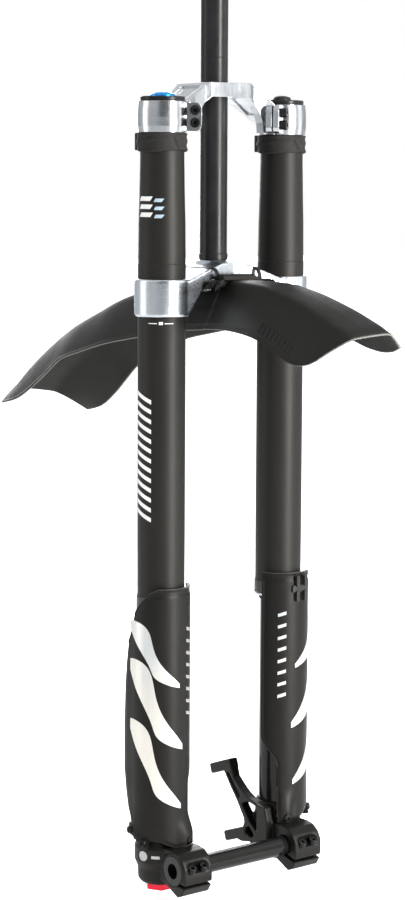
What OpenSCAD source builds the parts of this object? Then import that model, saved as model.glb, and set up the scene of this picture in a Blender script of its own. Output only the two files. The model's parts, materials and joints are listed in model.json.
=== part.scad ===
// Upside-down double-crown suspension fork with mudguard and leg guards.
// Origin: crown race seat on the steerer axis. +Z runs up the steerer, -Y is the front of the
// bicycle, +X is the rider's left. The damper leg is at -X and the air spring leg at +X.

/* [Steerer] */
// Outside radius of the steerer tube
steerer_r = 14.3; // [14.2:0.05:14.3]
// Height of the steerer's open top end above the crown race seat
steerer_top = 300; // [230:5:320]
// Radius of the crown race seat
race_r = 15; // [14.8:0.05:15.2]

/* [Legs] */
// Half the distance between the two leg axes
leg_x = 77; // [76.5:0.1:77.5]
// Distance of the leg axes in front of the steerer axis
leg_offset = 16; // [15.5:0.1:16.5]
// Outside radius of the outer tubes below the lower crown
tube_r = 24.45; // [24.3:0.05:24.5]
// Outside radius of the outer tubes inside the upper crown
tube_top_r = 22.4; // [22.2:0.1:22.6]
// Bore radius of the outer tubes
tube_bore_r = 20.8; // [20.6:0.1:21]
// Outside radius of the sliding stanchions
stanchion_r = 19; // [18.8:0.1:19.1]
// Height of the bottom end of the outer tubes
tube_bottom = -356; // [-358:1:-354]

/* [Crowns] */
// Top face of the upper crown
upper_top = 179.5; // [179:0.5:181]
// Bottom and top of the upper crown's leg collars
upper_collar_z = [128, 159];
// Bottom and top of the lower crown's leg collars
lower_collar_z = [-57, -18.5];
// Radius of the lower crown's leg collars
lower_collar_r = 28; // [27.5:0.1:28.5]

/* [Axle] */
// Distance of the axle in front of the steerer axis
axle_offset = 57; // [56.5:0.1:57.5]
// Height of the axle below the crown race seat
axle_z = -622.5; // [-624:0.5:-621]
// Radius of the through axle
axle_r = 10; // [9.9:0.1:10]
// Half the width of the hub that fits between the dropouts
hub_half = 55; // [54.5:0.1:55.5]
// Half the width over the outer faces of the dropouts
clamp_half = 90; // [89:0.5:91]

/* [Brake mount] */
// Distance between the two threaded brake posts
post_spacing = 74.2; // [74.2:0.1:74.2]
// Distance of the brake posts from the middle of the fork
post_x = 52; // [51:0.5:53]

/* [Shells] */
// Thickness of the mudguard
fender_t = 2.6; // [2:0.1:3]
// Thickness of the leg guards
guard_t = 2.4; // [2:0.1:2.6]

/* [Hidden] */
$fn = 64;
fit = 0.03;
hull_fn = 32;
leg_y = -leg_offset;
axle_y = -axle_offset;
steerer_bore_r = 11.8;
hub_bottom = -26;
seat_h = 4.5;
stem_groove_z = 206;
collar_r = 25.4;
stanchion_bore_r = 16.6;
stanchion_top = -165;
stanchion_bottom = -630;
socket_floor = -630;
foot_z = -644;
cartridge_r = 13;
cartridge_bore_r = 11.5;
cartridge_bottom = -340;
rod_r = 5;
piston_z = -322;
bolt_r = 3;
ear_angle = -143.13;
ear_reach = 33;
ear_half = 7;
upper_bolt_z = [137.5, 150];
lower_ear_angle = 125;
lower_bolt_z = [-45, -31];
guard_screws = [[-35, -592], [86, -586]];
post_tilt = 20.8;
post_top = [61.8, -564.7];
tie_x = 27;
pinch_x = [65, 80];
pinch_y = -74;
pinch_z = -621;
pinch_tilt = 24;

// ---- helpers ----

// Places children on a leg's axis; +X of the children points outward on both legs.
module on_leg(side) {
    translate([side * leg_x, leg_y, 0]) mirror([side < 0 ? 1 : 0, 0, 0]) children();
}

module both_legs() {
    for (side = [-1, 1]) on_leg(side) children();
}

// Cylinder from height z0 up to z1.
module post(r, z0, z1) {
    translate([0, 0, z0]) cylinder(r = r, h = z1 - z0);
}

module pipe(r_out, r_in, z0, z1) {
    difference() {
        post(r_out, z0, z1);
        post(r_in, z0 - 1, z1 + 1);
    }
}

// Block between two corners.
module block(a, b) {
    translate(a) cube(b - a);
}

// Outline in Y and Z, extruded along X from x0 to x1.
module side_plate(x0, x1) {
    translate([x0, 0, 0]) rotate([90, 0, 90]) linear_extrude(x1 - x0) children();
}

// Outline in X and Z, extruded along Y from y0 to y1.
module front_plate(y0, y1) {
    translate([0, y1, 0]) rotate([90, 0, 0]) linear_extrude(y1 - y0) children();
}

// Half outline and its mirror image about the Z axis.
module both_halves(points) {
    polygon(points);
    mirror([1, 0]) polygon(points);
}

// Socket head screw with its head's underside at z = 0, its shank running down.
module screw(head_r, head_h, shank_r, length) {
    difference() {
        union() {
            post(head_r, 0, head_h);
            post(shank_r, -length, 0.01);
        }
        translate([0, 0, head_h * 0.45]) cylinder(r = head_r * 0.58, h = head_h, $fn = 6);
    }
}

// Closed shell between an outer and an inner grid of points, both given row by row.
module shell(outer, inner) {
    rows = len(outer);
    cols = len(outer[0]);
    size = rows * cols;
    quads = concat(
        [for (i = [0:rows - 2], j = [0:cols - 2])
            [i * cols + j, i * cols + j + 1, (i + 1) * cols + j + 1, (i + 1) * cols + j]],
        [for (i = [0:rows - 2], j = [0:cols - 2])
            [size + (i + 1) * cols + j, size + (i + 1) * cols + j + 1,
             size + i * cols + j + 1, size + i * cols + j]],
        [for (j = [0:cols - 2]) [j, size + j, size + j + 1, j + 1]],
        [for (j = [0:cols - 2])
            [size - cols + j + 1, 2 * size - cols + j + 1, 2 * size - cols + j, size - cols + j]],
        [for (i = [0:rows - 2])
            [i * cols, (i + 1) * cols, size + (i + 1) * cols, size + i * cols]],
        [for (i = [0:rows - 2])
            [(i + 1) * cols - 1, size + (i + 1) * cols - 1,
             size + (i + 2) * cols - 1, (i + 2) * cols - 1]]
    );
    triangles = [for (q = quads) each [[q[0], q[1], q[2]], [q[0], q[2], q[3]]]];
    polyhedron(points = [for (row = concat(outer, inner)) each row], faces = triangles);
}

// Smooth step from 0 at a to 1 at b.
function ease(t, a, b) =
    let (u = min(1, max(0, (t - a) / (b - a)))) u * u * (3 - 2 * u);

// ---- steerer and crowns ----

module steerer_tube() {
    color("#2b2b2d") difference() {
        union() {
            post(steerer_r, hub_bottom + 1, steerer_top);
            post(race_r, -1, seat_h);
            translate([0, 0, seat_h]) cylinder(r1 = race_r, r2 = steerer_r, h = 0.8);
        }
        post(steerer_bore_r, hub_bottom, steerer_top + 1);
        // hairline groove below the stem's part of the tube
        rotate_extrude() polygon([[steerer_r - 0.2, stem_groove_z - 0.5], [steerer_r + 1, stem_groove_z - 0.5],
            [steerer_r + 1, stem_groove_z + 0.5], [steerer_r - 0.2, stem_groove_z + 0.5]]);
    }
}

// Outline of the upper crown's bridge seen from above.
module upper_plan() {
    both_halves([[0, -29.5], [24.5, -29.5], [31, -27], [45, -28.5], [62, -35], [77, -30],
                 [77, -2], [63, 10], [46, 18], [26.6, 28.6], [0, 28.6]]);
}

// Pinch ears of one collar, in the frame of the slit.
module upper_ears() {
    rotate(ear_angle) front_plate(-ear_half, ear_half) {
        polygon([[18, 129.2], [34.5, 129.2], [38.2, 130.8], [39.8, 134.5], [39.8, 152.5],
                 [38.2, 156.2], [34.5, 157.8], [18, 157.8]]);
    }
}

module upper_crown() {
    color("#d9dcdf") difference() {
        union() {
            intersection() {
                front_plate(-36, -17) both_halves([[0, upper_top], [26, upper_top],
                    [59, 156.5], [72, 156.5], [72, 129], [43, 129], [42, 140], [38.7, 149],
                    [33, 157.5], [24.5, 165], [0, 165]]);
                linear_extrude(200) upper_plan();
            }
            intersection() {
                front_plate(-18, 29) both_halves([[0, upper_top], [26, upper_top],
                    [59, 156.5], [72, 156.5], [72, 134], [62, 139], [50, 150],
                    [38, 160], [29, 165], [0, 165]]);
                linear_extrude(200) upper_plan();
            }
            both_legs() {
                rotate_extrude() polygon([[0, upper_collar_z[0]], [24.4, upper_collar_z[0]],
                    [25.3, 134], [25.6, 143], [25.3, 152], [24.6, upper_collar_z[1]],
                    [0, upper_collar_z[1]]]);
                upper_ears();
            }
        }
        post(steerer_r + fit, 150, 190);
        both_legs() {
            post(tube_top_r + fit, 100, 190);
            post(22.9, upper_collar_z[1], 175);
            rotate(ear_angle) {
                block([15, -0.8, 120], [45, 0.8, 170]);
                for (z = upper_bolt_z) {
                    translate([ear_reach, 0, z]) rotate([-90, 0, 0]) {
                        post(bolt_r + fit, -ear_half + 1, ear_half + 1);
                    }
                }
            }
        }
        // shallow pockets on top of the sloping arms
        for (side = [-1, 1]) mirror([side < 0 ? 1 : 0, 0, 0]) {
            front_plate(-20, 14) polygon([[30, 178], [53, 162.2], [53, 159], [30, 174.6]]);
            // underside pocket between the front wall and the rear wall
            front_plate(-19, 11) polygon([[28, 160], [52, 143], [52, 150.5], [28, 169]]);
        }
        // steerer pinch slot and bolt
        block([-0.8, 10, 160], [0.8, 40, 185]);
        translate([0, 22.5, 172.2]) rotate([0, 90, 0]) {
            post(bolt_r + fit, -30, 30);
            post(5.4, 20, 45);
        }
    }
}

module upper_crown_bolts() {
    color("#1c1c1e") {
        both_legs() rotate(ear_angle) for (z = upper_bolt_z) {
            translate([ear_reach, ear_half, z]) rotate([-90, 0, 0]) {
                screw(5, 7.5, bolt_r, 2 * ear_half - 2);
            }
        }
        translate([20, 22.5, 172.2]) rotate([0, 90, 0]) screw(5, 5.5, bolt_r, 36);
    }
}

// Outline of the lower crown's arms seen from above.
module lower_plan() {
    both_halves([[0, -34], [24, -36], [45, -38], [62, -40], [77, -36], [77, 0], [62, 8],
                 [44, 14], [24, 22], [0, 24]]);
}

// Pinch ears at the back of one lower collar.
module lower_ears() {
    rotate(lower_ear_angle) {
        block([22, -ear_half, -53], [39, ear_half, -23]);
    }
}

module lower_crown() {
    color("#d9dcdf") difference() {
        union() {
            intersection() {
                front_plate(-42, 26) both_halves([[0, -2.5], [13, -3.5], [25, -7.5], [43, -14],
                    [60, -20.5], [77, -24], [77, -56], [60, -56], [58, -54], [46, -38],
                    [38, -28.5], [29, -20.5], [20, -18.5], [0, -18]]);
                translate([0, 0, -70]) linear_extrude(80) lower_plan();
            }
            rotate_extrude() polygon([[0, hub_bottom], [18.5, hub_bottom], [20.5, -24],
                [20.5, -5], [18, -1.5], [0, -1.5]]);
            both_legs() {
                rotate_extrude() polygon([[0, lower_collar_z[0]],
                    [lower_collar_r - 1.6, lower_collar_z[0]],
                    [lower_collar_r, lower_collar_z[0] + 1.6],
                    [lower_collar_r, lower_collar_z[1] - 1.6],
                    [lower_collar_r - 1.6, lower_collar_z[1]], [0, lower_collar_z[1]]]);
                lower_ears();
            }
        }
        post(steerer_r + fit, -40, 5);
        post(race_r + fit, -1 - fit, 5);
        both_legs() {
            post(tube_r + fit, -80, 5);
            rotate(lower_ear_angle) {
                block([15, -0.8, -60], [45, 0.8, -10]);
                for (z = lower_bolt_z) {
                    translate([ear_reach, 0, z]) rotate([90, 0, 0]) {
                        post(bolt_r + fit, -ear_half + 1, ear_half + 1);
                    }
                }
            }
        }
    }
}

module lower_crown_bolts() {
    color("#1c1c1e") both_legs() rotate(lower_ear_angle) for (z = lower_bolt_z) {
        translate([ear_reach, -ear_half, z]) rotate([90, 0, 0]) {
            screw(4.9, 6, bolt_r, 2 * ear_half - 2);
        }
    }
}

// ---- upper legs ----

module outer_tube(side) {
    color("#2a2a2b") on_leg(side) rotate_extrude() polygon([
        [tube_bore_r, -345], [22.4, -345], [22.4, tube_bottom], [tube_r, tube_bottom],
        [tube_r, -4], [24.1, -3.4], [24.1, 5], [23.8, 37], [23.1, 62],
        [22.65, 88], [tube_top_r, 101], [tube_top_r, 158.6], [tube_bore_r, 158.6]
    ]);
}

// Rubber band with a pad at the back that meets the frame at full lock.
module frame_bumper(side) {
    color("#262626") on_leg(side) difference() {
        union() {
            rotate_extrude() polygon([[20, 108.5], [25.2, 108.5], [26, 111], [26, 124],
                [25.4, 127.6], [20, 127.6]]);
            translate([0, 0, 108.5]) linear_extrude(19.1) {
                polygon([[-13, 10], [13, 10], [13, 29], [9, 30.5], [-9, 30.5], [-13, 29]]);
            }
        }
        post(tube_top_r + fit, 100, 140);
    }
}

// Screwed cap on top of an outer tube; the bore holds the adjuster or the valve.
module top_cap(side, bore_r) {
    color("#1e1e1f") on_leg(side) rotate_extrude() polygon([
        [bore_r, 140], [tube_bore_r - fit, 140], [tube_bore_r - fit, 159], [22.3, 159],
        [22.7, 160], [22.7, 163], [22, 163.8], [16, 163.8], [15, 163], [bore_r, 163]
    ]);
}

module seal_collar(side) {
    color("#3a3a3c") on_leg(side) rotate_extrude() polygon([
        [tube_r + fit, -343], [25.2, -343], [collar_r, -344], [collar_r, -357.4],
        [24.9, -358.6], [21.4, -358.6], [21.4, tube_bottom - fit],
        [tube_r + fit, tube_bottom - fit]
    ]);
}

module wiper_seal(side) {
    color("#151515") on_leg(side) rotate_extrude() polygon([
        [stanchion_r + 0.06, -364], [20.2, -364], [21.3, -360], [21.3, -355.8],
        [22.35, -355.8], [22.35, -345.1], [stanchion_r + 0.06, -345.1]
    ]);
}

module foam_ring(side) {
    color("#50504a") on_leg(side) pipe(tube_bore_r - 0.05, stanchion_r + 0.06, -344.5, -337);
}

module bushings(side) {
    color("#4f5a52") on_leg(side) for (z = [-336, -225]) {
        pipe(tube_bore_r - fit, stanchion_r + 0.05, z, z + 22);
    }
}

module cartridge(side, tint) {
    color(tint) on_leg(side) {
        pipe(cartridge_r, cartridge_bore_r, cartridge_bottom, 139.9);
    }
}

// Head that closes the bottom of a cartridge and guides its rod.
module seal_head(side) {
    color("#8d8f92") on_leg(side) {
        pipe(cartridge_bore_r - fit, rod_r + 0.05, cartridge_bottom + 0.1, cartridge_bottom + 12);
        pipe(cartridge_r, rod_r + 0.05, cartridge_bottom - 4, cartridge_bottom);
    }
}

module air_valve() {
    color("#b9a05a") on_leg(1) difference() {
        union() {
            post(5, 142, 160);
            post(3.9, 159, 166);
        }
        post(1.6, 150, 167);
    }
}

// Dome cap screwed on the air valve.
module valve_cap() {
    color("#1a1a1a") on_leg(1) difference() {
        rotate_extrude() polygon([[0, 163.2], [9.5, 163.2], [9.5, 165.4], [8.2, 167.4],
            [5, 168.6], [0, 169]]);
        post(4, 160, 166.4);
    }
}

// Blue dome that sets the compression damping.
module compression_knob() {
    color("#1f9be0") on_leg(-1) difference() {
        union() {
            rotate_extrude() polygon([[0, 163.3], [13, 163.3], [13, 165], [11.6, 166.6],
                [7.5, 168.2], [3, 168.8], [0, 168.9]]);
            post(3.8, 143, 164);
        }
        translate([0, 0, 166.5]) cylinder(r = 2.3, h = 4, $fn = 6);
    }
}

// ---- mudguard ----

// One row per station from the front edge to the back edge:
// crest y, crest z, skirt edge y, skirt edge z, skirt edge x.
fender_stations = [
    [-250, -64.5, -232, -84, 46], [-238, -58.5, -220, -88.5, 47.5], [-222, -52.5, -205, -90, 49],
    [-197, -43.5, -187, -87.5, 50], [-166, -34, -163, -79.5, 50], [-138, -27, -137, -72, 49],
    [-111, -22, -111, -69, 47], [-79, -19.8, -79, -68, 45.5], [-50, -19.5, -50, -69, 44.5],
    [-46, -20, -46, -69, 44.4], [-41, -29.8, -41, -70, 44.2], [-5, -30, -5, -73, 44],
    [26, -30.5, 26, -77, 45], [60, -32.5, 66, -84, 47.5], [106, -39.5, 110, -92, 50.5],
    [141, -50, 141, -99, 52], [179, -66.5, 175, -109, 53], [222, -84.5, 210, -120, 54],
    [252, -100, 239, -138, 55], [285, -120.5, 262, -154, 57], [317, -142.5, 290, -171, 59],
    [348, -166, 321, -183, 60]
];
fender_cols = 24;

// Sideways share and drop share across one half of the section, for t from 0 to 1.
function fender_across(t) = 0.62 * ease(t, 0, 0.62) * 0.35 + 0.9 * t - 0.117 * t * t;
function fender_drop(t) = 0.04 * ease(t, 0, 0.6) + 0.96 * pow(ease(t, 0.42, 1.25), 1.15) / 0.86;

// Point of the mudguard's section at station s, at t from -1 (right edge) to 1 (left edge).
function fender_point(s, t, inset) =
    let (
        a = abs(t),
        wide = fender_across(a) / fender_across(1),
        drop = fender_drop(a) / fender_drop(1),
        x = (s[4] - inset * 0.98 * ease(a, 0.3, 0.9)) * wide,
        y = s[0] + (s[2] - s[0]) * drop,
        z = s[1] + (s[3] - s[1]) * drop - inset * (1 - ease(a, 0.35, 1))
    ) [sign(t) * x, y, z];

function fender_grid(inset) = [for (s = fender_stations)
    [for (j = [0:fender_cols]) fender_point(s, 1 - 2 * j / fender_cols, inset)]];

module mudguard() {
    color("#2c2b2a") shell(fender_grid(0), fender_grid(fender_t));
}

// Moulded saddle block on the mudguard, in front of the lower crown.
module mudguard_bracket() {
    color("#262524") difference() {
        block([-29, -54, -19.2], [29, -41.5, -13.6]);
        for (side = [-1, 1]) {
            block([side * tie_x - 3.2, -45.6, -25], [side * tie_x + 3.2, -42.6, -10]);
        }
        front_plate(-60, -35) for (side = [-1, 1]) mirror([side < 0 ? 1 : 0, 0]) {
            polygon([[30, -13], [22, -13], [30, -16.5]]);
        }
    }
}

// Plastic straps that hold the mudguard's block to the lower crown's arms.
module zip_ties() {
    color("#161616") for (side = [-1, 1]) {
        side_plate(side * tie_x - 2.3, side * tie_x + 2.3) difference() {
            polygon([[-44.8, -22], [-42, -24.8], [22, -24.8], [25.5, -21], [25.5, -5], [22, -2.6],
                     [-38, -2.6], [-44.8, -8]]);
            polygon([[-43.4, -21.6], [-41.4, -23.6], [21.4, -23.6], [24.2, -20.6], [24.2, -5.6],
                     [21.4, -3.9], [-37.6, -3.9], [-43.4, -8.6]]);
        }
        block([side * tie_x - 3.6, 25.5, -16], [side * tie_x + 3.6, 30, -9]);
    }
}

// ---- lower legs ----

module stanchion(side) {
    color("#19191a") on_leg(side) {
        pipe(stanchion_r, stanchion_bore_r, stanchion_bottom, stanchion_top);
    }
}

// Side outline of the axle clamp, in Y and Z.
module clamp_outline() {
    polygon([[-26, -603], [-54, -602], [-64, -603.5], [-72, -608.5], [-77, -616.5],
             [-77.5, -628], [-76, -637.5], [-71, -645.5], [-64, -648.5], [-45, -640.5],
             [-26, -636]]);
}

module dropout_body(side) {
    difference() {
        union() {
            on_leg(side) {
                rotate_extrude() polygon([[0, foot_z], [20, foot_z], [23, -640], [23.5, -628],
                    [26.8, -620], [26.8, -606], [23.5, -600], [22.6, -596], [22.2, -585],
                    [21.4, -583.5], [0, -583.5]]);
                // posts for the guard screws
                for (s = guard_screws) {
                    translate([0, 0, s[1]]) rotate(s[0] - 90) rotate([0, 90, 0]) {
                        post(4.6, 19, 27);
                    }
                }
            }
            mirror([side < 0 ? 1 : 0, 0, 0]) {
                side_plate(hub_half, clamp_half) clamp_outline();
                translate([0, axle_y, axle_z]) rotate([0, 90, 0]) {
                    post(17.5, hub_half, clamp_half + 1.2);
                }
            }
        }
        on_leg(side) {
            post(stanchion_r + fit, socket_floor, -570);
            post(5.05, -700, -600);
            for (s = guard_screws) {
                translate([0, 0, s[1]]) rotate(s[0] - 90) rotate([0, 90, 0]) {
                    post(2.5, 20, 30);
                }
            }
        }
        // flat inner face for the hub
        mirror([side < 0 ? 1 : 0, 0, 0]) {
            block([40, -60, -700], [hub_half, 30, -596]);
            translate([0, axle_y, axle_z]) rotate([0, 90, 0]) {
                post(axle_r + fit, 40, 110);
                post(15.4, clamp_half - 2, 110);
            }
            // pinch slit under the axle, sloping down to the front
            translate([0, axle_y, axle_z - 9]) rotate([13, 0, 0]) {
                block([40, -40, -0.8], [110, 0, 0.8]);
            }
            // slot that holds the two pinch screw heads
            at_pinch() {
                for (x = pinch_x) translate([x, 0, 0]) {
                    post(bolt_r - 0.47, -21.3, 12);
                    post(5.2, 0, 22);
                    translate([0, -6, 0]) post(5.2, 0, 22);
                }
                block([pinch_x[0], -11.2, 0], [pinch_x[1], 5.2, 14]);
            }
        }
    }
}

// Frame of the pinch screws: their heads lean forward.
module at_pinch() {
    translate([0, pinch_y, pinch_z]) rotate([pinch_tilt, 0, 0]) children();
}

module dropout_damper() {
    color("#232324") dropout_body(-1);
}

// Point on the line of the brake posts, d below the upper post's end face.
function post_end(d) = [post_top[0] - d * sin(post_tilt), post_top[1] - d * cos(post_tilt)];

module at_brake_posts() {
    for (d = [0, post_spacing]) {
        translate([post_x, post_end(d)[0], post_end(d)[1]]) rotate([-90 - post_tilt, 0, 0]) {
            children();
        }
    }
}

module brake_arm() {
    side_plate(post_x - 5, post_x + 5) polygon([
        [26.3, -551.2], [21.5, -564.5], [10, -573.5], [2, -578.5], [-6, -582], [-20, -585.5],
        [-34, -586.5], [-38, -600], [-38, -634], [-16, -634], [-8, -630], [6, -633], [14, -632.5],
        [17, -623.5], [8, -619.5], [4, -616], [1.9, -610], [3.1, -605.5], [15.8, -588.5],
        [27.4, -575.7], [39.3, -560.5]]);
    at_brake_posts() intersection() {
        post(7.2, -38, 0);
        block([-5.7, -5.7, -39], [5.7, 5.7, 1]);
    }
}

module dropout_air() {
    color("#232324") {
        difference() {
            union() {
                dropout_body(1);
                difference() {
                    brake_arm();
                    on_leg(1) post(22, -700, -500);
                    // windows between the arm and the leg
                    side_plate(30, 80) polygon([[6, -591.2], [-2, -586.5], [-14, -587.5],
                        [-19.5, -590], [-19.8, -616], [-9, -609]]);
                    side_plate(30, 80) polygon([[-1.3, -615.5], [-7.4, -613.1], [-14.5, -619.9],
                        [-14.3, -623.3], [-7.7, -624.5], [-0.5, -620.7]]);
                    // long pockets in both faces of the arm
                    for (x = [post_x - 8, post_x + 2]) {
                        side_plate(x, x + 6) polygon([[34.8, -562], [29, -562], [8.8, -581.4],
                            [11.3, -586.5], [15, -584.1]]);
                    }
                }
            }
            at_brake_posts() post(2.6, -15, 1);
        }
    }
}

module through_axle() {
    color("#1d1d1e") translate([0, axle_y, axle_z]) rotate([0, 90, 0]) {
        difference() {
            union() {
                post(axle_r, -clamp_half, clamp_half);
                post(15.3, -clamp_half - 1, -clamp_half + 2);
                post(15.3, clamp_half - 2, clamp_half + 1);
            }
            post(8, -100, 100);
        }
    }
}

module axle_pinch_bolts() {
    color("#141415") for (side = [-1, 1], x = pinch_x) {
        at_pinch() translate([side * x, 0, 0]) screw(4.4, 6, bolt_r - 0.5, 21);
    }
}

// Height of the guard's top and bottom edge, for c from 0 (inner edge) to 1 (rear edge).
function guard_top(c) = lookup(c, [[0, -333], [0.56, -333], [0.64, -337.5], [0.74, -349],
    [0.85, -364], [1, -390]]);
function guard_bottom(c) = lookup(c, [[0, -601], [0.2, -601.8], [0.32, -598], [0.45, -594.5],
    [0.7, -593], [0.82, -595], [0.88, -588], [0.94, -575], [1, -566]]);
// How far the outer wall runs back behind the leg axis at height z.
function guard_rear(z) = lookup(z, [[-600, 3], [-585, 6], [-562, 14], [-548, 17.5],
    [-525, 21], [-475, 21], [-437, 19.5], [-413, 17], [-387, 12.5], [-365, 8], [-333, 4]]);
function guard_inner_angle(z) = -74 + 38 * (1 - ease(z, -540, -508));

function guard_point(c, z, inset) =
    let (
        first = guard_inner_angle(z),
        angle = c < 0.8 ? first + (90 - first) * c / 0.8 : 90,
        r = 29.6 + 2.4 * ease(angle, -72, 50) + 1.6 * ease(z, -560, -590) * ease(angle, 40, 85)
            - inset,
        back = c < 0.8 ? 0 : (c - 0.8) / 0.2 * guard_rear(z)
    ) [r * sin(angle) - back * 0.07, back - r * cos(angle), z];

guard_rows = 26;
guard_cols = 30;

function guard_grid(inset) = [for (i = [0:guard_rows])
    [for (j = [0:guard_cols])
        let (c = j / guard_cols, s = i / guard_rows)
        guard_point(c, guard_top(c) + s * (guard_bottom(c) - guard_top(c)), inset)]];

module leg_guard(side) {
    color("#29292a") on_leg(side) difference() {
        shell(guard_grid(0), guard_grid(guard_t));
        for (s = guard_screws) {
            translate([0, 0, s[1]]) rotate(s[0] - 90) rotate([0, 90, 0]) {
                translate([0, 0, 20]) cylinder(r = 2.7, h = 25, $fn = 24);
            }
        }
    }
}

module guard_screws() {
    color("#141415") both_legs() for (s = guard_screws) {
        translate([0, 0, s[1]]) rotate(s[0] - 90) rotate([0, 90, 0]) {
            translate([0, 0, s[0] > 0 ? 34 : 30.2]) screw(4.3, 3.4, 2.4, s[0] > 0 ? 14 : 10);
        }
    }
}

// Clip at the top of the air leg's guard that holds the brake hose: a band with two prongs at
// each end.
module hose_clip() {
    color("#1a1a1b") on_leg(1) rotate(-82) {
        rotate(-18) rotate_extrude(angle = 36) polygon([[32.1, -353], [34, -353], [34, -346],
            [32.1, -346]]);
        for (turn = [-9, 9], low = [-363, -347]) rotate(turn) {
            block([32.1, -1.8, low], [36, 1.8, low + 11]);
        }
    }
}

module rod(side) {
    color("#c9ccd0") on_leg(side) pipe(rod_r, 2.5, foot_z + 2, piston_z + 16);
}

module piston(side, tint) {
    color(tint) on_leg(side) pipe(cartridge_bore_r - 0.05, rod_r + fit, piston_z, piston_z + 14);
}

// Rubber bottom-out bumper on the rod, just above the foot.
module bottom_bumper(side) {
    color("#3b3b33") on_leg(side) difference() {
        rotate_extrude() polygon([[0, -629.9], [13, -629.9], [13, -580], [9, -566], [7, -552],
            [0, -552]]);
        post(rod_r + fit, -640, -500);
    }
}

module foot_nut(side) {
    color("#1a1a1b") on_leg(side) difference() {
        translate([0, 0, foot_z - 5]) cylinder(r = 9, h = 5, $fn = 6);
        post(side < 0 ? 2.4 : 4.2, foot_z - 6, foot_z + 1);
    }
}

// Red hexagon under the damper leg that sets the rebound damping.
module rebound_knob() {
    color("#d01c24") on_leg(-1) difference() {
        union() {
            translate([0, 0, foot_z - 7.5]) cylinder(r = 16, h = 7.3, $fn = 6);
            post(2, foot_z - 3, foot_z + 40);
        }
        difference() {
            post(10.2, foot_z - 5.1, foot_z);
            post(2, foot_z - 6, foot_z);
        }
    }
}

steerer_tube();
upper_crown();
upper_crown_bolts();
lower_crown();
lower_crown_bolts();
outer_tube(-1);  // outer_tube_damper
outer_tube(1);  // outer_tube_air
frame_bumper(-1);  // frame_bumper_damper
frame_bumper(1);  // frame_bumper_air
top_cap(-1, 3.9);  // top_cap_damper
top_cap(1, 5.05);  // top_cap_air
seal_collar(-1);  // seal_collar_damper
seal_collar(1);  // seal_collar_air
wiper_seal(-1);  // wiper_seal_damper
wiper_seal(1);  // wiper_seal_air
foam_ring(-1);  // foam_ring_damper
foam_ring(1);  // foam_ring_air
bushings(-1);  // bushings_damper
bushings(1);  // bushings_air
cartridge(-1, "#6e7276");  // damper_cartridge
cartridge(1, "#7d6a3a");  // air_cartridge
seal_head(-1);  // damper_seal_head
seal_head(1);  // air_seal_head
air_valve();
mudguard();
mudguard_bracket();
zip_ties();
compression_knob();
valve_cap();
stanchion(-1);  // stanchion_damper
stanchion(1);  // stanchion_air
dropout_damper();
dropout_air();
through_axle();
axle_pinch_bolts();
leg_guard(-1);  // leg_guard_damper
leg_guard(1);  // leg_guard_air
guard_screws();
hose_clip();
rod(-1);  // damper_rod
rod(1);  // air_rod
piston(-1, "#9aa0a6");  // damper_piston
piston(1, "#8a8f96");  // air_piston
bottom_bumper(-1);  // bottom_bumper_damper
bottom_bumper(1);  // bottom_bumper_air
foot_nut(1);  // foot_nut_air
foot_nut(-1);  // foot_nut_damper
rebound_knob();
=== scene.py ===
"""Looks of the suspension fork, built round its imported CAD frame.

Lengths inside the shape functions are millimetres; piece() makes the objects in metres.
Angles round a leg are measured from the front, positive towards the outside of the fork.
"""
import json
import math

import bmesh
import bpy
import numpy as np
from mathutils import Matrix, Vector


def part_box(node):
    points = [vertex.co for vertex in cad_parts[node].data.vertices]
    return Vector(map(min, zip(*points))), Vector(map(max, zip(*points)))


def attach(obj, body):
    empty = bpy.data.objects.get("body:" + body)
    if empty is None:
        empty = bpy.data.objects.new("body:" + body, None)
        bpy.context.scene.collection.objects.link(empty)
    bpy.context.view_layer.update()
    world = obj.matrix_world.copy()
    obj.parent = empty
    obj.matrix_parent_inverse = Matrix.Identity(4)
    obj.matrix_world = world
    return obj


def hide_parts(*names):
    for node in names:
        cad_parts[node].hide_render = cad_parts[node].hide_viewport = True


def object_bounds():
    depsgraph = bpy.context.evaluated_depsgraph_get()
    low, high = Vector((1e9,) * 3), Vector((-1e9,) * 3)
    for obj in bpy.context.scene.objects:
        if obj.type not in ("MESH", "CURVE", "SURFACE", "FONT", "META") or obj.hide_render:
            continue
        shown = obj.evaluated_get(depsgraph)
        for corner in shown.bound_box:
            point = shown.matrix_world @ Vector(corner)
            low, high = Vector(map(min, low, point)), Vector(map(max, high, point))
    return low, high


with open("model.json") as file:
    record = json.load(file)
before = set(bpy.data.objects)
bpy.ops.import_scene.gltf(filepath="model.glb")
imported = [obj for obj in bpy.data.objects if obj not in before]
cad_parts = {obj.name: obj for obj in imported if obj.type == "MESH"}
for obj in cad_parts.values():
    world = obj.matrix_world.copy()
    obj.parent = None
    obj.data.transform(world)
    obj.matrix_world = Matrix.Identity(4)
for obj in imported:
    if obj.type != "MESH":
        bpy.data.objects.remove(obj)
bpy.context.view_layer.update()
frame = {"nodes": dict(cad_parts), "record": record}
NODES = frame["nodes"]
MM = 0.001
SIDES = {"damper": -1, "air": 1}


def node_box(name):
    """Lowest and highest corner of a CAD node, in millimetres."""
    low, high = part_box(name)
    return low / MM, high / MM


# Centre line of each leg as (x, y), in millimetres.
LEG_AXES = {side: tuple(sum(node_box("stanchion_" + side), Vector()).xy / 2) for side in SIDES}
AXLE = sum(node_box("through_axle"), Vector()) / 2
TUBE_LOW, TUBE_HIGH = node_box("outer_tube_air")
TUBE_R = (TUBE_HIGH.x - TUBE_LOW.x) / 2


# ---- camera, light and floor ----

CAMERA_PLACE = (-1.340458, -1.776630, 0.085044)
CAMERA_AZIMUTH = math.radians(37.986)
CAMERA_PITCH = math.radians(5.866)
CAMERA_ROLL = math.radians(0.403)


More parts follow.
